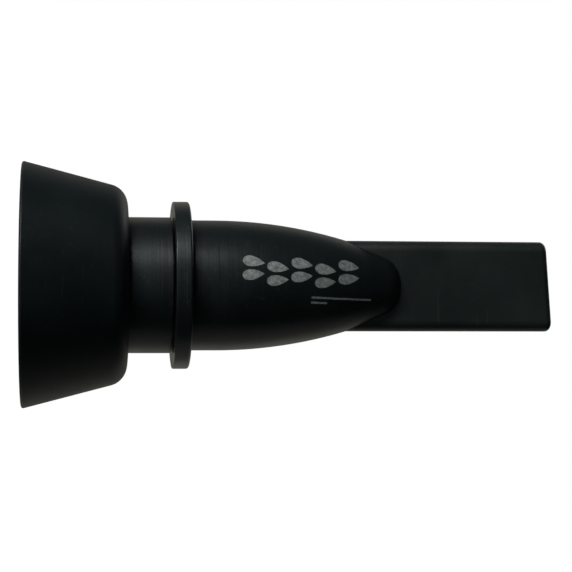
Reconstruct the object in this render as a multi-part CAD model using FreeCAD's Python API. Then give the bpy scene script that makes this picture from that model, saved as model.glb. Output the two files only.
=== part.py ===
import FreeCAD, Part
import math
import os

# Grunt tube call, in millimetres. It stands on the rim of its bell: the origin is the centre of
# the bell's mouth, and +Z runs along the axis to the mouthpiece, which is flat across Y.

V = FreeCAD.Vector
ORIGIN = V(0, 0, 0)
UP = V(0, 0, 1)

# Fits between pieces that move on each other
RUNNING = 0.05          # radial clearance of a hand-drawn fit
SEAL_GAP = 0.03         # between a seal and the wall it rubs on
END_GAP = 0.15          # between end faces that meet when the call is closed

# Ordinary edge roundings, and how far a cutting tool runs past what it cuts
CRISP, BROKEN, EASED, SOFT = 0.15, 0.3, 0.4, 0.6
PAST = 1.0

# Bell
MOUTH_R = 29.4
BELL_LENGTH = 24.85
SHOULDER_R, SHOULDER_ROUND = 22.95, 5.0     # where the flare would meet the back face
SKIRT_WALL = 2.4
BACK_WALL = 3.0
SLEEVE_WALL = 2.2
SLEEVE_FOOT_Z = 11.6
LIP_HEIGHT = 1.5
LIP_R = 13.4
RIM_ROUND = 0.5
SLEEVE_ROOT_ROUND, SKIRT_ROOT_ROUND = 1.0, 2.2

# Barrel
BARREL_R, BARREL_BORE_R = 16.25, 13.0
BARREL_TOP_Z = 35.1
BELL_SEAL_Z = 19.2

# Stop ring
RING_R = 20.0
RING_FOOT_Z, RING_TOP_Z = 35.6, 39.5
RING_SEAT_R = 14.0
RING_FOOT_ROUND, RING_TOP_ROUND = 0.2, 0.6

# Stopper
TENON_FOOT_Z = 21.0
TENON_R = 12.92
TENON_SEALS_Z = {"tenon_oring_lower": 24.6, "tenon_oring_upper": 32.0}
STOPPER_R = 15.6
OGIVE_BEND_Z, OGIVE_ARC_R = 65.3, 110.0     # where its side and nose would meet, and the arc between
NOSE_R, NOSE_Z, NOSE_ROUND = 6.42, 90.75, 6.0
REED_BORE_R = 8.5
REED_BORE_END_Z = 64.5
SOCKET_FLOOR_Z = 66.5
AIR_WINDOW = (17.0, 4.4, 1.4)       # width, depth, rounding

# Mouthpiece bar
BAR_WIDTH, BAR_DEPTH, BAR_ROUND = 21.9, 8.0, 2.6
BAR_END_Z = 127.45                  # at the middle of the slanted end
BAR_END_SLANT = 4.3                 # degrees
BAR_END_ROUND = 1.5
BAR_WALL = 1.8
SLOT_ROUND, SLOT_RIM_ROUND = 2.1, 0.2
GASKET_Z = 70.5
GASKET_HEIGHT, GASKET_DEPTH = 1.4, 0.8
GASKET_PLAY = 0.1                   # at each side of the gasket in its groove

# Seals: half the thickness of their round section
BELL_SEAL_SECTION = 0.70
TENON_SEAL_SECTION = 0.78
PLUG_SEAL_SECTION = 0.58
GROOVE_SIDE_GAP = 0.22

# Tone board
FLANGE_R, FLANGE_THICKNESS = 10.2, 1.5
PLUG_TOP_Z = 30.0
PLUG_SEAL_Z = 25.4
HEAD_TOP_Z = 40.0
BOARD_TIP_Z = 61.5
BOARD_WIDTH = 10.4
BOARD_BACK_ROUND = 1.0
TABLE_Y, BACK_Y, HEAD_FRONT_Y = -1.6, 3.6, -6.0
MORTISE_WIDTH, MORTISE_ROOF_Y, MORTISE_FOOT_Z = 9.6, -4.4, 33.0
TROUGH_WIDTH, TROUGH_FLOOR_Y, TROUGH_END_Z = 4.4, 1.8, 58.5
AIRWAY_R = 2.5
TABLE_FALL = 1.6                    # degrees that the table falls away under the reed's free end

# Reed, its wedge and its tuning ring
REED_WIDTH, REED_THICKNESS = 9.2, 0.3
REED_FOOT_Z, REED_TIP_Z = 34.3, 61.0
REED_TIP_ROUND = 2.0
REED_PLAY = 0.1                     # room for the held end to tilt in, over and under the reed
WEDGE_STAND_OUT = 0.4               # of the wedge above the head
TUNING_RING_Z, TUNING_RING_HEIGHT = 43.0, 1.6
TUNING_RING_THICKNESS = 1.1
TUNING_RING_CORNER = 0.3
TUNING_RING_ROUND = 0.5


def on_xz(u, v):
    return V(u, 0, v)


def on_xy(u, v):
    return V(u, v, 0)


def rounded_wire(corners, place):
    """Closed wire through corners (u, v, rounding), each rounded by a tangent arc."""
    turns = []
    for index, (u, v, rounding) in enumerate(corners):
        corner = V(u, v, 0)
        back = V(*corners[index - 1][:2], 0) - corner
        ahead = V(*corners[(index + 1) % len(corners)][:2], 0) - corner
        back.normalize()
        ahead.normalize()
        half_angle = back.getAngle(ahead) / 2
        reach = rounding / math.tan(half_angle)
        inward = (back + ahead).normalize()
        depth = rounding / math.sin(half_angle) - rounding
        turns.append((corner + back * reach, corner + inward * depth, corner + ahead * reach))
    edges = []
    for index, (start, middle, end) in enumerate(turns):
        if corners[index][2] > 0:
            arc = Part.Arc(*(place(p.x, p.y) for p in (start, middle, end)))
            edges.append(arc.toShape())
        following = turns[(index + 1) % len(turns)][0]
        line = Part.LineSegment(place(end.x, end.y), place(following.x, following.y))
        edges.append(line.toShape())
    return Part.Wire(edges)


def turned(corners):
    """Solid of revolution about Z from corners (radius, z, rounding)."""
    return Part.Face(rounded_wire(corners, on_xz)).revolve(ORIGIN, UP, 360)


def rounded_bar(width, depth, rounding, foot_z, top_z, centre_y=0.0):
    """Upright bar with a rounded rectangle as its section."""
    x, low_y, high_y = width / 2, centre_y - depth / 2, centre_y + depth / 2
    corners = [(-x, low_y, rounding), (x, low_y, rounding), (x, high_y, rounding), (-x, high_y, rounding)]
    bar = Part.Face(rounded_wire(corners, on_xy)).extrude(UP * (top_z - foot_z))
    bar.translate(UP * foot_z)
    return bar


def box(width, low_y, high_y, foot_z, top_z):
    """Plain block centred on the YZ plane."""
    return Part.makeBox(width, high_y - low_y, top_z - foot_z, V(-width / 2, low_y, foot_z))


def cylinder(radius, foot_z, top_z):
    return Part.makeCylinder(radius, top_z - foot_z, UP * foot_z)


def seal(wall_r, z, section):
    """O-ring whose outside lies just inside a wall of radius wall_r."""
    return Part.makeTorus(wall_r - SEAL_GAP - section, section, UP * z)


def groove(wall_r, outside_r, z, section, floor_gap):
    """Ring to cut out of a round piece, to hold the seal of the same numbers."""
    floor_r = wall_r - SEAL_GAP - 2 * section - floor_gap
    half_height = section + GROOVE_SIDE_GAP
    ring = cylinder(outside_r + PAST, z - half_height, z + half_height)
    return ring.cut(cylinder(floor_r, z - half_height, z + half_height))


def edges_between(shape, low_z, high_z):
    """Edges of a shape that lie wholly between two heights."""
    return [e for e in shape.Edges if low_z < e.BoundBox.ZMin and e.BoundBox.ZMax < high_z]


# Heights and radii that follow from the ones above
SLEEVE_R = BARREL_R + RUNNING
BARREL_FOOT_Z = SLEEVE_FOOT_Z + LIP_HEIGHT + END_GAP
BAR_FOOT_Z = SOCKET_FLOOR_Z + END_GAP
REED_BACK_Y = TABLE_Y - REED_PLAY
REED_FRONT_Y = REED_BACK_Y - REED_THICKNESS


def make_bell():
    slope = (MOUTH_R - SHOULDER_R) / BELL_LENGTH
    inner_mouth_r = MOUTH_R - SKIRT_WALL * math.hypot(1, slope)
    ceiling_z = BELL_LENGTH - BACK_WALL
    sleeve_out_r = SLEEVE_R + SLEEVE_WALL
    return turned([
        (MOUTH_R, 0, RIM_ROUND),
        (SHOULDER_R, BELL_LENGTH, SHOULDER_ROUND),
        (SLEEVE_R, BELL_LENGTH, EASED),
        (SLEEVE_R, SLEEVE_FOOT_Z + LIP_HEIGHT, 0),
        (LIP_R, SLEEVE_FOOT_Z + LIP_HEIGHT, BROKEN),
        (LIP_R, SLEEVE_FOOT_Z, RIM_ROUND),
        (sleeve_out_r, SLEEVE_FOOT_Z, SOFT),
        (sleeve_out_r, ceiling_z, SLEEVE_ROOT_ROUND),
        (inner_mouth_r - slope * ceiling_z, ceiling_z, SKIRT_ROOT_ROUND),
        (inner_mouth_r, 0, RIM_ROUND),
    ])


def make_barrel():
    tube = turned([
        (BARREL_R, BARREL_FOOT_Z, SOFT),
        (BARREL_R, BARREL_TOP_Z, CRISP),
        (BARREL_BORE_R, BARREL_TOP_Z, EASED),
        (BARREL_BORE_R, BARREL_FOOT_Z, SOFT),
    ])
    return tube.cut(groove(SLEEVE_R, BARREL_R, BELL_SEAL_Z, BELL_SEAL_SECTION, 0))


def make_stop_ring():
    bore_r = RING_SEAT_R + RUNNING
    top_z = RING_TOP_Z - RUNNING
    return turned([
        (RING_R, RING_FOOT_Z, RING_FOOT_ROUND),
        (RING_R, top_z, RING_TOP_ROUND),
        (bore_r, top_z, BROKEN),
        (bore_r, RING_FOOT_Z, BROKEN),
    ])


def ogive():
    """Solid bullet from its shoulder on the stop ring to the blunt nose."""
    return turned([
        (0, RING_TOP_Z, 0),
        (STOPPER_R, RING_TOP_Z, BROKEN),
        (STOPPER_R, OGIVE_BEND_Z, OGIVE_ARC_R),
        (NOSE_R, NOSE_Z, NOSE_ROUND),
        (0, NOSE_Z, 0),
    ])


def make_stopper_body():
    tenon = turned([
        (0, TENON_FOOT_Z, 0),
        (TENON_R, TENON_FOOT_Z, SOFT),
        (TENON_R, RING_FOOT_Z, 0),
        (RING_SEAT_R, RING_FOOT_Z, BROKEN),
        (RING_SEAT_R, RING_TOP_Z + PAST, 0),
        (0, RING_TOP_Z + PAST, 0),
    ])
    body = ogive().fuse(tenon).removeSplitter()
    for z in TENON_SEALS_Z.values():
        body = body.cut(groove(BARREL_BORE_R, TENON_R, z, TENON_SEAL_SECTION, RUNNING))
    socket = rounded_bar(BAR_WIDTH + 2 * RUNNING, BAR_DEPTH + 2 * RUNNING, BAR_ROUND + RUNNING,
                         SOCKET_FLOOR_Z, NOSE_Z + PAST)
    window = rounded_bar(*AIR_WINDOW, REED_BORE_END_Z - PAST, SOCKET_FLOOR_Z + PAST)
    reed_bore = cylinder(REED_BORE_R, TENON_FOOT_Z - PAST, REED_BORE_END_Z)
    return body.cut(socket).cut(window).cut(reed_bore)


def make_mouthpiece():
    slant_drop = BAR_WIDTH / 2 * math.tan(math.radians(BAR_END_SLANT))
    past_end_z = BAR_END_Z + BAR_WIDTH
    bar = rounded_bar(BAR_WIDTH, BAR_DEPTH, BAR_ROUND, BAR_FOOT_Z, past_end_z)
    above_end = box(4 * BAR_WIDTH, -BAR_WIDTH, BAR_WIDTH, BAR_END_Z, BAR_END_Z + 2 * BAR_WIDTH)
    above_end.rotate(UP * BAR_END_Z, V(0, 1, 0), -BAR_END_SLANT)
    bar = bar.cut(above_end)
    end_rim = edges_between(bar, BAR_END_Z - 2 * slant_drop, BAR_END_Z + 2 * slant_drop)
    bar = bar.makeFillet(BAR_END_ROUND, end_rim)
    slot = rounded_bar(BAR_WIDTH - 2 * BAR_WALL, BAR_DEPTH - 2 * BAR_WALL, SLOT_ROUND,
                       BAR_FOOT_Z - PAST, past_end_z)
    bar = bar.cut(slot)
    rims = edges_between(bar, BAR_END_Z - 2 * slant_drop, BAR_END_Z + 2 * slant_drop)
    bar = bar.makeFillet(SLOT_RIM_ROUND, [e for e in rims if in_slot(e.BoundBox)])
    half_height = GASKET_HEIGHT / 2 + GASKET_PLAY
    gasket_groove = box(2 * BAR_WIDTH, -BAR_WIDTH, BAR_WIDTH, GASKET_Z - half_height, GASKET_Z + half_height)
    return bar.cut(gasket_groove.cut(gasket_seat(GASKET_Z - half_height, GASKET_Z + half_height)))


def in_slot(bounds):
    """Whether an edge's box lies within the mouthpiece's air slot."""
    x, y = (BAR_WIDTH - BAR_WALL) / 2, (BAR_DEPTH - BAR_WALL) / 2
    return max(-bounds.XMin, bounds.XMax) < x and max(-bounds.YMin, bounds.YMax) < y


def gasket_seat(foot_z, top_z):
    """What is left of the bar inside the gasket."""
    return rounded_bar(BAR_WIDTH - 2 * GASKET_DEPTH, BAR_DEPTH - 2 * GASKET_DEPTH,
                       BAR_ROUND - GASKET_DEPTH, foot_z, top_z)


def make_mouthpiece_gasket():
    stand_out = RUNNING - SEAL_GAP
    foot_z, top_z = GASKET_Z - GASKET_HEIGHT / 2, GASKET_Z + GASKET_HEIGHT / 2
    outside = rounded_bar(BAR_WIDTH + 2 * stand_out, BAR_DEPTH + 2 * stand_out, BAR_ROUND + stand_out,
                          foot_z, top_z)
    return outside.cut(gasket_seat(foot_z, top_z))


def make_tone_board():
    plug_r = REED_BORE_R - RUNNING
    flange_top_z = TENON_FOOT_Z - END_GAP
    flange_foot_z = flange_top_z - FLANGE_THICKNESS
    plug = turned([
        (0, flange_foot_z, 0),
        (FLANGE_R, flange_foot_z, EASED),
        (FLANGE_R, flange_top_z, BROKEN),
        (plug_r, flange_top_z, 0),
        (plug_r, PLUG_TOP_Z, EASED),
        (0, PLUG_TOP_Z, 0),
    ])
    plug = plug.cut(groove(REED_BORE_R, plug_r, PLUG_SEAL_Z, PLUG_SEAL_SECTION, 0))
    head = box(BOARD_WIDTH, HEAD_FRONT_Y, BACK_Y, PLUG_TOP_Z - PAST, HEAD_TOP_Z)
    board = box(BOARD_WIDTH, TABLE_Y, BACK_Y, PLUG_TOP_Z - PAST, BOARD_TIP_Z)
    back_edges = [e for e in board.Edges if e.BoundBox.YMin > 0 and e.BoundBox.ZLength > BOARD_WIDTH]
    board = board.makeFillet(BOARD_BACK_ROUND, back_edges)
    body = plug.fuse(head).fuse(board).removeSplitter()
    mortise = box(MORTISE_WIDTH, MORTISE_ROOF_Y, TABLE_Y, MORTISE_FOOT_Z, HEAD_TOP_Z + PAST)
    trough = box(TROUGH_WIDTH, TABLE_Y - REED_PLAY, TROUGH_FLOOR_Y, PLUG_TOP_Z, TROUGH_END_Z)
    airway = cylinder(AIRWAY_R, flange_foot_z - PAST, PLUG_TOP_Z + PAST)
    return body.cut(mortise).cut(trough).cut(airway).cut(table_fall())


def table_fall():
    """Thin wedge that leaves the table falling away from the reed towards its tip."""
    past_z = BOARD_TIP_Z + PAST
    fall = (past_z - HEAD_TOP_Z) * math.tan(math.radians(TABLE_FALL))
    corners = [V(-BOARD_WIDTH, TABLE_Y - PAST, HEAD_TOP_Z), V(-BOARD_WIDTH, TABLE_Y, HEAD_TOP_Z),
               V(-BOARD_WIDTH, TABLE_Y + fall, past_z), V(-BOARD_WIDTH, TABLE_Y - PAST, past_z)]
    return Part.Face(Part.makePolygon(corners + corners[:1])).extrude(V(2 * BOARD_WIDTH, 0, 0))


def make_reed():
    x = REED_WIDTH / 2
    corners = [(-x, REED_FOOT_Z, BROKEN), (x, REED_FOOT_Z, BROKEN),
               (x, REED_TIP_Z, REED_TIP_ROUND), (-x, REED_TIP_Z, REED_TIP_ROUND)]
    blade = Part.Face(rounded_wire(corners, on_xz)).extrude(V(0, REED_THICKNESS, 0))
    blade.translate(V(0, REED_FRONT_Y, 0))
    return blade


def make_reed_wedge():
    low_y, high_y = MORTISE_ROOF_Y, REED_FRONT_Y - REED_PLAY
    return box(MORTISE_WIDTH - 2 * RUNNING, low_y, high_y, MORTISE_FOOT_Z, HEAD_TOP_Z + WEDGE_STAND_OUT)


def make_tuning_ring():
    low_y, high_y = REED_FRONT_Y - RUNNING, BACK_Y + RUNNING
    width, depth, centre_y = BOARD_WIDTH + 2 * RUNNING, high_y - low_y, (low_y + high_y) / 2
    foot_z, top_z = TUNING_RING_Z, TUNING_RING_Z + TUNING_RING_HEIGHT
    outside = rounded_bar(width + 2 * TUNING_RING_THICKNESS, depth + 2 * TUNING_RING_THICKNESS,
                          TUNING_RING_CORNER + TUNING_RING_THICKNESS, foot_z, top_z, centre_y)
    rims = [e for e in outside.Edges if e.BoundBox.ZLength < TUNING_RING_HEIGHT / 2]
    outside = outside.makeFillet(TUNING_RING_ROUND, rims)
    return outside.cut(rounded_bar(width, depth, TUNING_RING_CORNER, foot_z - PAST, top_z + PAST, centre_y))


parts = {
    "bell": make_bell(),
    "barrel": make_barrel(),
    "bell_oring": seal(SLEEVE_R, BELL_SEAL_Z, BELL_SEAL_SECTION),
    "stop_ring": make_stop_ring(),
    "stopper_body": make_stopper_body(),
    "mouthpiece": make_mouthpiece(),
    "mouthpiece_gasket": make_mouthpiece_gasket(),
    "tone_board": make_tone_board(),
    "plug_oring": seal(REED_BORE_R, PLUG_SEAL_Z, PLUG_SEAL_SECTION),
    "reed": make_reed(),
    "reed_wedge": make_reed_wedge(),
    "tuning_ring": make_tuning_ring(),
}
for name, z in TENON_SEALS_Z.items():
    parts[name] = seal(BARREL_BORE_R, z, TENON_SEAL_SECTION)

os.makedirs("parts", exist_ok=True)
for name, shape in parts.items():
    shape.exportStep(f"parts/{name}.step")
    print(name, "valid" if shape.isValid() else "NOT VALID", len(shape.Solids), "solid",
          round(shape.Volume, 1), "mm3")
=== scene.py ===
import math

import bmesh
import bpy
from mathutils import Matrix, Vector
from mathutils.bvhtree import BVHTree
from mathutils.geometry import delaunay_2d_cdt


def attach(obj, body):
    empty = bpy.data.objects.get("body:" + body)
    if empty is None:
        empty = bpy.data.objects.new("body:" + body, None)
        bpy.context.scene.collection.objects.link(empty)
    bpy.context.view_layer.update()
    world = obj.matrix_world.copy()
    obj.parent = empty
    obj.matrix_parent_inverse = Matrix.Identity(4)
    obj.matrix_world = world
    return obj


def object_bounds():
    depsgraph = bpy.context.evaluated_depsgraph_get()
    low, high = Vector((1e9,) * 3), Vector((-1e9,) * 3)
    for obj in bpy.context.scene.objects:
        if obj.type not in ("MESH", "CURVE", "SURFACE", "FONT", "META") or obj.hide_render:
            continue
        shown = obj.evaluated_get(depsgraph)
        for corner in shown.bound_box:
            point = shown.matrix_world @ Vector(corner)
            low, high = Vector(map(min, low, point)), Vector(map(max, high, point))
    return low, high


# A black grunt tube call, standing on its bell. The camera lies on its side beside it, so that the
# mouthpiece points right in the picture, and looks at the side with the printed mark (-Y).

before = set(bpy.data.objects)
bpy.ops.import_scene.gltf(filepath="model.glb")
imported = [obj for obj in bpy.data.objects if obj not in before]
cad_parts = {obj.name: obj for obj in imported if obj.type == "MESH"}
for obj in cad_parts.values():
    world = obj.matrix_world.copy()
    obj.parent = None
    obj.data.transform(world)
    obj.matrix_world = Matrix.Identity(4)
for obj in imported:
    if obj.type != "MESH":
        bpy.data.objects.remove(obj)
cad_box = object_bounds()

MM = 0.001
LOW, HIGH = cad_box
LENGTH = HIGH.z - LOW.z


# ---------------------------------------------------------------- camera

def add_camera():
    """Beside the bell's skirt, lying on its side with -X up, aimed at the middle of the call."""
    away, above_rim, roll = 413.0 * MM, 12.0 * MM, math.radians(-0.25)
    focal_mm, sensor_mm = 108.45, 36.0
    aim = Vector((0.05 * MM, 0, 63.1 * MM))
    place = Vector((0, -away, above_rim))
    data = bpy.data.cameras.new("camera")
    data.lens = focal_mm
    data.sensor_width = sensor_mm
    data.clip_start = 10 * MM
    camera = bpy.data.objects.new("camera", data)
    forward = (aim - place).normalized()
    up = Vector((-1, 0, 0))
    up = (up - forward * up.dot(forward)).normalized()
    right = forward.cross(up)
    turned = Matrix.Rotation(roll, 3, forward)
    right, up = turned @ right, turned @ up
    camera.matrix_world = Matrix((
        (right.x, up.x, -forward.x, place.x),
        (right.y, up.y, -forward.y, place.y),
        (right.z, up.z, -forward.z, place.z),
        (0, 0, 0, 1)))
    bpy.context.collection.objects.link(camera)
    bpy.context.scene.camera = camera


# ---------------------------------------------------------------- stage and light

WHITE = (1, 1, 1, 1)
DIM_CYAN = (0.55, 1.0, 1.05, 1)
PAPER_GREY = (0.55, 0.55, 0.55, 1)
WORLD_LIGHT, PAPER_GLOW = 0.014, 0.98


def add_world():
    """White where the camera sees past the floor, and dim cyan as light."""
    world = bpy.data.worlds.new("studio")
    world.use_nodes = True
    bpy.context.scene.world = world
    nodes, links = world.node_tree.nodes, world.node_tree.links
    nodes.clear()
    output = nodes.new("ShaderNodeOutputWorld")
    seen, light = nodes.new("ShaderNodeBackground"), nodes.new("ShaderNodeBackground")
    seen.inputs["Color"].default_value = WHITE
    light.inputs["Color"].default_value = DIM_CYAN
    light.inputs["Strength"].default_value = WORLD_LIGHT
    path, mix = nodes.new("ShaderNodeLightPath"), nodes.new("ShaderNodeMixShader")
    links.new(path.outputs["Is Camera Ray"], mix.inputs["Fac"])
    links.new(light.outputs[0], mix.inputs[1])
    links.new(seen.outputs[0], mix.inputs[2])
    links.new(mix.outputs[0], output.inputs["Surface"])


def floor_paper(fade_start, fade_end):
    """Pale paper with a glow of its own, clear from fade_end outwards."""
    material = bpy.data.materials.new("floor_paper")
    material.use_nodes = True
    nodes, links = material.node_tree.nodes, material.node_tree.links
    nodes.clear()
    output = nodes.new("ShaderNodeOutputMaterial")
    paper, clear = nodes.new("ShaderNodeBsdfDiffuse"), nodes.new("ShaderNodeBsdfTransparent")
    glow, lit = nodes.new("ShaderNodeEmission"), nodes.new("ShaderNodeAddShader")
    paper.inputs["Color"].default_value = PAPER_GREY
    glow.inputs["Strength"].default_value = PAPER_GLOW
    where, length = nodes.new("ShaderNodeTexCoord"), nodes.new("ShaderNodeVectorMath")
    length.operation = "LENGTH"
    fade, mix = nodes.new("ShaderNodeMapRange"), nodes.new("ShaderNodeMixShader")
    fade.interpolation_type = "SMOOTHSTEP"
    fade.inputs["From Min"].default_value = fade_start
    fade.inputs["From Max"].default_value = fade_end
    links.new(where.outputs["Object"], length.inputs[0])
    links.new(length.outputs["Value"], fade.inputs["Value"])
    links.new(fade.outputs[0], mix.inputs["Fac"])
    links.new(paper.outputs[0], lit.inputs[0])
    links.new(glow.outputs[0], lit.inputs[1])
    links.new(lit.outputs[0], mix.inputs[1])
    links.new(clear.outputs[0], mix.inputs[2])
    links.new(mix.outputs[0], output.inputs["Surface"])
    return material


def add_floor():
    """Pale round floor just under the call, which fades out at its rim and lights or shades nothing."""
    radius, sides, gap = 0.6, 96, 0.05 * MM
    mesh = bpy.data.meshes.new("floor")
    shape = bmesh.new()
    bmesh.ops.create_circle(shape, cap_ends=True, segments=sides, radius=radius)
    shape.to_mesh(mesh)
    shape.free()
    mesh.materials.append(floor_paper(fade_start=0.1 * radius, fade_end=0.95 * radius))
    floor = bpy.data.objects.new("floor", mesh)
    floor.location.z = LOW.z - gap
    bpy.context.collection.objects.link(floor)
    floor.visible_diffuse = False
    floor.visible_glossy = False
    floor.visible_shadow = False


def softbox(name, place, aim, size, watts, colour):
    """Area light of size (width, height) in metres, turned to face aim, which no camera sees."""
    data = bpy.data.lights.new(name, "AREA")
    data.shape = "RECTANGLE"
    data.size, data.size_y = size
    data.energy = watts
    data.color = colour
    lamp = bpy.data.objects.new(name, data)
    lamp.location = place
    lamp.rotation_euler = (Vector(aim) - Vector(place)).to_track_quat("-Z", "Y").to_euler()
    lamp.visible_camera = False
    bpy.context.collection.objects.link(lamp)


def add_lights():
    """Cool light from the mark's side and from above, and warm light from behind and below.

    Their names follow the camera: above is -X, right is +Z and behind is +Y.
    """
    neck, call, nose = (0, 0, 0.045), (0, 0, 0.4 * LENGTH), (0, 0, 0.085)
    past_mouthpiece = (0, 0, 0.25)
    softbox("key", (-0.385, -0.29, -0.15), neck, size=(0.10, 0.26), watts=1.65, colour=(0.90, 1.0, 0.98))
    softbox("front_fill", (-0.06, -0.80, -0.36), call, size=(0.66, 0.6), watts=0.7, colour=(0.86, 1.0, 0.97))
    softbox("above_right", (-0.23, 0.33, 0.52), nose, size=(0.18, 0.45), watts=0.36, colour=(0.96, 0.98, 1.0))
    softbox("table_behind", (0.0, 0.55, 0.25), past_mouthpiece, size=(1.3, 1.3), watts=1.9,
            colour=(1.0, 0.96, 0.86))
    softbox("table_below", (0.55, 0.22, 0.06), call, size=(0.6, 0.8), watts=0.25, colour=(1.0, 0.97, 0.90))
    softbox("wall_above", (-0.60, 0.20, 0.06), call, size=(0.8, 0.8), watts=0.10, colour=(0.70, 1.0, 1.05))


# ---------------------------------------------------------------- materials

ROUND_THE_AXIS = (0.004, 0.004, 1)      # noise stretched like this turns into rings about Z
MIX_FIRST, MIX_SECOND, MIX_RESULT = 6, 7, 2     # the colour sockets of a Mix node
DUST = (0.05, 0.05, 0.047)
BLACK_PLASTIC, RUBBED_PLASTIC = (0.0042, 0.0055, 0.0058), (0.030, 0.031, 0.030)
# The rubber's rubbed colour also fills the bell's painted highlight lines.
BLACK_RUBBER, RUBBED_AND_HIGHLIGHT_RUBBER = (0.0030, 0.0048, 0.0056), (0.028, 0.030, 0.030)
# The mouthpiece's rubbed colour is light, so that its edge rub is mostly a painted highlight line.
LIP_PLASTIC, RUBBED_AND_HIGHLIGHT_LIP_PLASTIC = (0.0145, 0.0165, 0.016), (0.070, 0.073, 0.076)


class Finish:
    """A procedural material under construction: one Principled shader and helpers that add nodes."""

    def __init__(self, name):
        self.material = bpy.data.materials.new(name)
        self.material.use_nodes = True
        self.nodes, self.links = self.material.node_tree.nodes, self.material.node_tree.links
        self.shader = self.nodes["Principled BSDF"]
        self.place = self.nodes.new("ShaderNodeTexCoord").outputs["Object"]

    def node(self, kind, **settings):
        made = self.nodes.new(kind)
        for name, value in settings.items():
            setattr(made, name, value)
        return made

    def mapped(self, scale, rotation=(0, 0, 0)):
        """Places on the object, stretched and then turned."""
        mapping = self.node("ShaderNodeMapping")
        mapping.inputs["Rotation"].default_value = rotation
        mapping.inputs["Scale"].default_value = scale
        self.links.new(self.place, mapping.inputs["Vector"])
        return mapping.outputs["Vector"]

    def height(self):
        """Distance above the bell's mouth, in metres."""
        split = self.node("ShaderNodeSeparateXYZ")
        self.links.new(self.place, split.inputs["Vector"])
        return split.outputs["Z"]

    def noise(self, size_mm, detail=3.0, roughness=0.55, stretch=(1, 1, 1), rotation=(0, 0, 0)):
        """Noise whose blobs are about size_mm across, from 0 to 1."""
        noise = self.node("ShaderNodeTexNoise")
        noise.inputs["Scale"].default_value = 1 / (size_mm * MM)
        noise.inputs["Detail"].default_value = detail
        noise.inputs["Roughness"].default_value = roughness
        self.links.new(self.mapped(stretch, rotation), noise.inputs["Vector"])
        return noise.outputs["Fac"]

    def ramp(self, value, low, high, to_low=0.0, to_high=1.0):
        """value remapped from low..high to to_low..to_high, clamped."""
        remap = self.node("ShaderNodeMapRange")
        sockets = ("From Min", "From Max", "To Min", "To Max")
        for socket, number in zip(sockets, (low, high, to_low, to_high)):
            remap.inputs[socket].default_value = number
        self.links.new(value, remap.inputs["Value"])
        return remap.outputs["Result"]

    def math(self, operation, first, second):
        node = self.node("ShaderNodeMath", operation=operation)
        for socket, value in zip(node.inputs, (first, second)):
            if isinstance(value, (int, float)):
                socket.default_value = value
            else:
                self.links.new(value, socket)
        return node.outputs[0]

    def mixed(self, factor, first, second):
        """Colour between two colours or colour outputs."""
        mix = self.node("ShaderNodeMix", data_type="RGBA")
        self.links.new(factor, mix.inputs["Factor"])
        for socket, value in ((mix.inputs[MIX_FIRST], first), (mix.inputs[MIX_SECOND], second)):
            if isinstance(value, tuple):
                socket.default_value = (*value, 1)
            else:
                self.links.new(value, socket)
        return mix.outputs[MIX_RESULT]

    def edges(self, radius_mm, low=0.02, high=0.35):
        """1 along convex and concave edges, 0 on open faces."""
        bevel = self.node("ShaderNodeBevel", samples=4)
        bevel.inputs["Radius"].default_value = radius_mm * MM
        geometry = self.node("ShaderNodeNewGeometry")
        dot = self.node("ShaderNodeVectorMath", operation="DOT_PRODUCT")
        self.links.new(bevel.outputs["Normal"], dot.inputs[0])
        self.links.new(geometry.outputs["True Normal"], dot.inputs[1])
        return self.ramp(self.math("SUBTRACT", 1.0, dot.outputs["Value"]), low, high)

    def use(self, socket, value):
        self.links.new(value, self.shader.inputs[socket])

    def bump(self, layers):
        """layers: (height output, depth in mm), stacked."""
        normal = None
        for height, depth_mm in layers:
            bump = self.node("ShaderNodeBump")
            bump.inputs["Strength"].default_value = 1.0
            bump.inputs["Distance"].default_value = depth_mm * MM
            self.links.new(height, bump.inputs["Height"])
            if normal is not None:
                self.links.new(normal, bump.inputs["Normal"])
            normal = bump.outputs["Normal"]
        self.use("Normal", normal)


def turning_marks(finish, pitch_mm):
    """Rings round the axis, as a turned mould leaves, uneven in depth and in places faded."""
    rings = finish.noise(pitch_mm, detail=2.0, roughness=0.6, stretch=ROUND_THE_AXIS)
    patches = finish.noise(size_mm=9, detail=2.0)
    return finish.math("MULTIPLY", rings, finish.ramp(patches, 0.3, 0.7, 0.35, 1.0))


def scratches(finish, length_mm=6.0, width_mm=0.12):
    """Sparse thin scratches along X. The turn keeps the noise's own grid from showing."""
    streaks = finish.noise(4 * width_mm, detail=1.0, roughness=0.5,
                           stretch=(width_mm / length_mm, 1, 1), rotation=(0.6, 0.3, 0))
    return finish.ramp(streaks, 0.70, 0.76)


def rubbed_and_highlight_bands(finish, bands_mm):
    """Patchily rubbed rings round the axis, at each (z, half width) of bands_mm: up to 1, else 0. The rings
    are painted highlight lines as well as wear.
    """
    height = finish.height()
    total = None
    for z, half_width in bands_mm:
        away = finish.math("ABSOLUTE", finish.math("SUBTRACT", height, z * MM), 0)
        band = finish.ramp(away, 0, half_width * MM, 1, 0)
        total = band if total is None else finish.math("MAXIMUM", total, band)
    patches = finish.noise(size_mm=4.0)
    return finish.math("MULTIPLY", total, finish.ramp(patches, 0.3, 0.6, 0.45, 1.0))


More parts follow.
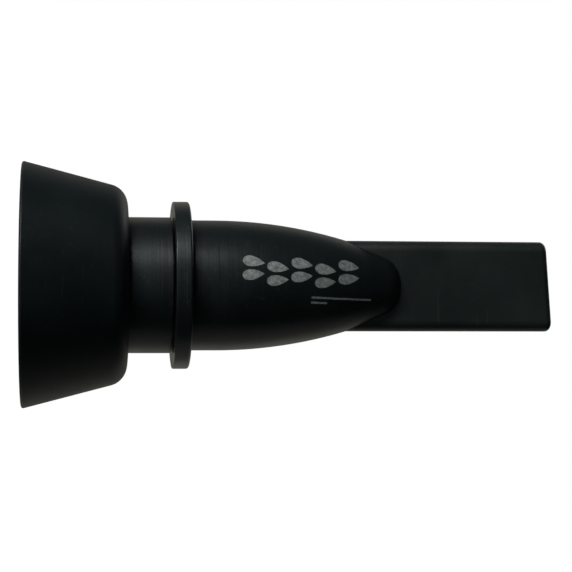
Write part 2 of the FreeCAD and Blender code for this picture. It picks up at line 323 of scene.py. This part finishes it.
def black_finish(name, colour, worn_and_highlight, roughness, specular, grain_mm, grain_depth_mm,
                 rings_mm=None, edge_mm=0.5, bands_mm=()):
    """Black moulded plastic or rubber, with handling haze, dust, scratches, rubbed edges and grain.

    rings_mm is the pitch of its fine turning rings, and bands_mm where it is rubbed all round. Wide rubbed
    edges and the bands also act as painted highlight lines.
    """
    dust_cover, rub_and_highlight_cover, scratch_cover = 0.25, 0.8, 0.35
    dust_roughness, scratch_depth_mm = 0.12, -0.004
    finish = Finish(name)
    haze = finish.noise(size_mm=14, detail=4.0)
    dust = finish.ramp(finish.noise(size_mm=1.1, detail=2.0, roughness=0.7), 0.62, 0.8)
    patches = finish.ramp(finish.noise(size_mm=3.0), 0.35, 0.65, 0.5, 1.0)
    rub_and_highlight = finish.math("MULTIPLY", finish.edges(edge_mm), patches)
    lines = scratches(finish)
    hazed = finish.mixed(finish.ramp(haze, 0.3, 0.7), colour, tuple(1.5 * part for part in colour))
    dusty = finish.mixed(finish.math("MULTIPLY", dust, dust_cover), hazed, DUST)
    # Edge rub, scratches and bands are wear; the mouthpiece's wide edge rub and the bell's bands are also
    # painted highlight lines.
    wear_and_highlight = finish.math("MAXIMUM", finish.math("MULTIPLY", rub_and_highlight, rub_and_highlight_cover),
                       finish.math("MULTIPLY", lines, scratch_cover))
    if bands_mm:
        wear_and_highlight = finish.math("MAXIMUM", wear_and_highlight, rubbed_and_highlight_bands(finish, bands_mm))
    finish.use("Base Color", finish.mixed(wear_and_highlight, dusty, worn_and_highlight))
    varied = finish.ramp(haze, 0.25, 0.75, roughness - 0.05, roughness + 0.07)
    finish.use("Roughness", finish.math("ADD", varied, finish.math("MULTIPLY", dust, dust_roughness)))
    finish.shader.inputs["Specular IOR Level"].default_value = specular
    grain = finish.noise(grain_mm, detail=2.0, roughness=0.5)
    layers = [(grain, grain_depth_mm), (lines, scratch_depth_mm)]
    if rings_mm:
        broad_rings_mm, fine_depth_mm, broad_depth_mm = 1.8, 0.050, 0.075
        layers.append((turning_marks(finish, rings_mm), fine_depth_mm))
        layers.append((turning_marks(finish, broad_rings_mm), broad_depth_mm))
    finish.bump(layers)
    return finish.material


def inner_finish(name, first, second, roughness, grain_mm, depth_mm):
    """Plain finish for a piece that is seen only when the call is apart."""
    finish = Finish(name)
    cloud = finish.noise(size_mm=2.5)
    finish.use("Base Color", finish.mixed(finish.ramp(cloud, 0.3, 0.7), first, second))
    finish.use("Roughness", finish.ramp(cloud, 0.2, 0.8, roughness - 0.06, roughness + 0.06))
    finish.bump([(finish.noise(grain_mm, detail=2.0), depth_mm)])
    return finish.material


def ink_finish():
    """Worn silver-grey pad print, mottled, thinner towards the nose, with bare specks."""
    dark_ink, light_ink, under_ink = (0.126, 0.134, 0.130), (0.475, 0.475, 0.458), (0.03, 0.03, 0.03)
    finish = Finish("printed_ink")
    mottle = finish.noise(size_mm=0.7, detail=4.0, roughness=0.65)
    gone = finish.ramp(finish.noise(size_mm=0.35, roughness=0.7), 0.60, 0.68)
    ink = finish.mixed(finish.ramp(mottle, 0.3, 0.7), dark_ink, light_ink)
    thinner = finish.ramp(finish.height(), 55 * MM, 80 * MM, 0.0, 0.38)
    bare = finish.math("MAXIMUM", finish.math("MULTIPLY", gone, 0.75), thinner)
    finish.use("Base Color", finish.mixed(bare, ink, under_ink))
    finish.use("Roughness", finish.ramp(mottle, 0.2, 0.8, 0.5, 0.7))
    finish.bump([(mottle, 0.01)])
    return finish.material


def paint_cad_nodes():
    """Gives every CAD node its material."""
    seal = inner_finish("seal_rubber", (0.010, 0.010, 0.011), (0.022, 0.022, 0.022),
                        roughness=0.42, grain_mm=0.25, depth_mm=0.01)
    body = black_finish("body_plastic", BLACK_PLASTIC, RUBBED_PLASTIC, roughness=0.40, specular=0.5,
                        grain_mm=0.30, grain_depth_mm=0.003, rings_mm=0.55)
    # The bell's two bands are painted highlight lines along its rim and its back edge, with patchy rubbing.
    rim_band, back_band = (0.25, 0.45), (24.55, 0.5)        # at the bell's mouth and at its back edge
    finishes = {
        "bell": black_finish("bell_rubber", BLACK_RUBBER, RUBBED_AND_HIGHLIGHT_RUBBER, roughness=0.50, specular=0.28,
                             grain_mm=0.22, grain_depth_mm=0.010, bands_mm=(rim_band, back_band)),
        "barrel": body,
        "stopper_body": body,
        "stop_ring": black_finish("ring_plastic", BLACK_PLASTIC, RUBBED_PLASTIC, roughness=0.37,
                                  specular=0.72, grain_mm=0.3, grain_depth_mm=0.004, rings_mm=0.5),
        # The mouthpiece's wide edge rub paints a highlight line along its rounded edges, as well as wear.
        "mouthpiece": black_finish("mouthpiece_plastic", LIP_PLASTIC, RUBBED_AND_HIGHLIGHT_LIP_PLASTIC, roughness=0.40,
                                   specular=0.58, grain_mm=0.18, grain_depth_mm=0.006, edge_mm=1.6),
        "tone_board": inner_finish("board_plastic", (0.040, 0.040, 0.042), (0.060, 0.060, 0.060),
                                   roughness=0.5, grain_mm=0.3, depth_mm=0.012),
        "reed": inner_finish("reed_film", (0.55, 0.58, 0.55), (0.70, 0.72, 0.68),
                             roughness=0.25, grain_mm=0.6, depth_mm=0.003),
        "reed_wedge": inner_finish("wedge_rubber", (0.11, 0.035, 0.018), (0.16, 0.055, 0.03),
                                   roughness=0.7, grain_mm=0.2, depth_mm=0.02),
    }
    for name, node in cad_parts.items():
        node.data.materials.clear()
        node.data.materials.append(finishes.get(name, seal))


# ---------------------------------------------------------------- printed mark

def surface_of(node):
    """Ray-cast tree of a CAD node, in the frame."""
    return BVHTree.FromObject(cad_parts[node], bpy.context.evaluated_depsgraph_get())


def new_piece(name, shape, material, body):
    mesh = bpy.data.meshes.new(name)
    shape.normal_update()
    shape.to_mesh(mesh)
    shape.free()
    mesh.materials.append(material)
    piece = bpy.data.objects.new(name, mesh)
    bpy.context.collection.objects.link(piece)
    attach(piece, body)
    return piece


def hoof_half(length, width, steps=40):
    """Outline of half a hoof print, pointed forward: (forward, sideways) points in mm."""
    taper, slimness = 0.9, 0.87         # how sharply it narrows to its point, and how slim it is
    outline = []
    for step in range(steps):
        turn = math.tau * step / steps
        sideways = width / 2 * math.sin(turn) * math.sin(turn / 2) ** taper / slimness
        outline.append((length / 2 * math.cos(turn), sideways))
    return outline


def placed(outline, forward, sideways, degrees):
    """Outline turned by degrees and moved."""
    cos, sin = math.cos(math.radians(degrees)), math.sin(math.radians(degrees))
    return [(forward + u * cos - v * sin, sideways + u * sin + v * cos) for u, v in outline]


def rule(length, width, rounds=8):
    """Outline of a thin line with round ends, in mm."""
    half, radius = length / 2 - width / 2, width / 2
    ends = ((half, -90), (-half, 90))
    return [(end + radius * math.cos(math.radians(start + 180 * step / rounds)),
             radius * math.sin(math.radians(start + 180 * step / rounds)))
            for end, start in ends for step in range(rounds + 1)]


def mark_outlines():
    """A trail of five hoof prints towards the mouthpiece, and two thin lines beside it, in mm."""
    prints, stride, sway = 5, 5.75, 0.55
    hoof_length, half_width, half_apart, splay = 5.2, 2.75, 1.52, 7
    outlines = []
    for number in range(prints):
        forward, side = stride * (number - (prints - 1) / 2), sway * (-1) ** number
        for half in (-1, 1):
            hoof = hoof_half(hoof_length, half_width)
            outlines.append(placed(hoof, forward, side + half * half_apart, -half * splay))
    line_width = 0.5
    for length, forward, sideways in ((15.0, 10.0, -5.7), (4.0, 4.5, -6.9)):
        outlines.append(placed(rule(length, line_width), forward, sideways, 0))
    return outlines


def filled(outline, spacing):
    """Flat triangulation of an outline with a grid of points inside it, spacing apart: points, faces."""
    low_u, low_v = (min(point[k] for point in outline) for k in (0, 1))
    high_u, high_v = (max(point[k] for point in outline) for k in (0, 1))
    grid = [(low_u + spacing * i, low_v + spacing * j)
            for i in range(int((high_u - low_u) / spacing) + 1)
            for j in range(int((high_v - low_v) / spacing) + 1)]
    points = [Vector(point) for point in outline + grid]
    rim = [(k, (k + 1) % len(outline)) for k in range(len(outline))]
    keep_inside, tolerance = 1, 1e-6
    flat, _, faces, *_ = delaunay_2d_cdt(points, rim, [], keep_inside, tolerance)
    return [tuple(point) for point in flat], faces


def add_mark():
    """Pad print on the ogive's -Y side: thin ink on the surface, slanted a little."""
    stopper = surface_of("stopper_body")
    middle_x, middle_z, slant_degrees = -3.1, 65.2, -2.4
    ray_start_y, spacing = -60, 0.45
    stand_out, thickness = 0.03 * MM, 0.05 * MM
    shape = bmesh.new()
    for outline in mark_outlines():
        flat, faces = filled(outline, spacing)
        corners = []
        for forward, sideways in placed(flat, 0, 0, slant_degrees):
            start = Vector((middle_x - sideways, ray_start_y, middle_z + forward)) * MM
            hit, normal, *_ = stopper.ray_cast(start, Vector((0, 1, 0)))
            corners.append(shape.verts.new(hit + normal * stand_out))
        for face in faces:
            shape.faces.new([corners[k] for k in face])
    bmesh.ops.recalc_face_normals(shape, faces=shape.faces)
    bmesh.ops.solidify(shape, geom=list(shape.faces), thickness=thickness)
    bmesh.ops.recalc_face_normals(shape, faces=shape.faces)
    new_piece("printed_mark", shape, ink_finish(), "stopper")


add_camera()
add_world()
add_floor()
add_lights()
paint_cad_nodes()
add_mark()

bpy.context.scene.view_settings.view_transform = "Standard"
